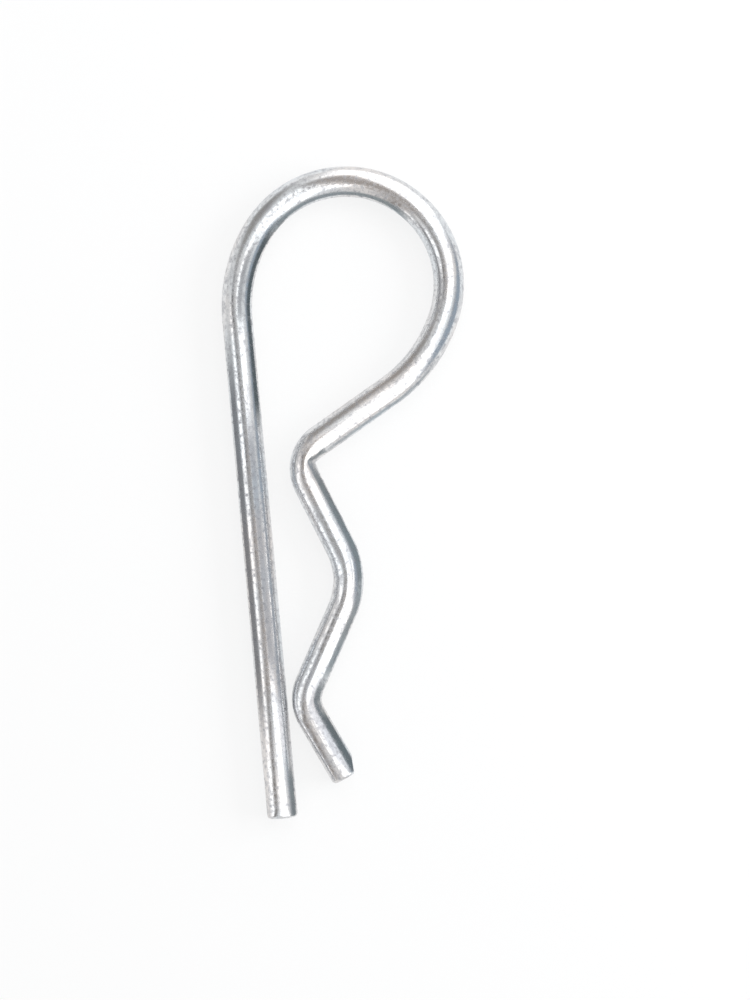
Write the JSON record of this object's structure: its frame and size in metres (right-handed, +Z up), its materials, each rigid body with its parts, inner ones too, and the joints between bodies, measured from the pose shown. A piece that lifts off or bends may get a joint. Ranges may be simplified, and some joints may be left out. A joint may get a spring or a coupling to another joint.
{
  "type": "hitch r clip pin",
  "caption": "Bent spring wire R clip: the straight leg goes through a shaft's cross hole and the wavy leg snaps round the shaft to lock it.",
  "frame": {"origin": "middle of the clip's outline, on the surface it lies on", "axes": "+Y along the straight leg towards the eye, +X from the straight leg towards the wavy leg, +Z up from the surface it lies on"},
  "size_m": [0.032, 0.0842, 0.004],
  "materials": {
    "zinc_plated_wire": "bright zinc plating on drawn spring wire"
  },
  "bodies": {
    "root": {"spring_wire": "zinc_plated_wire"}
  },
  "joints": []
}
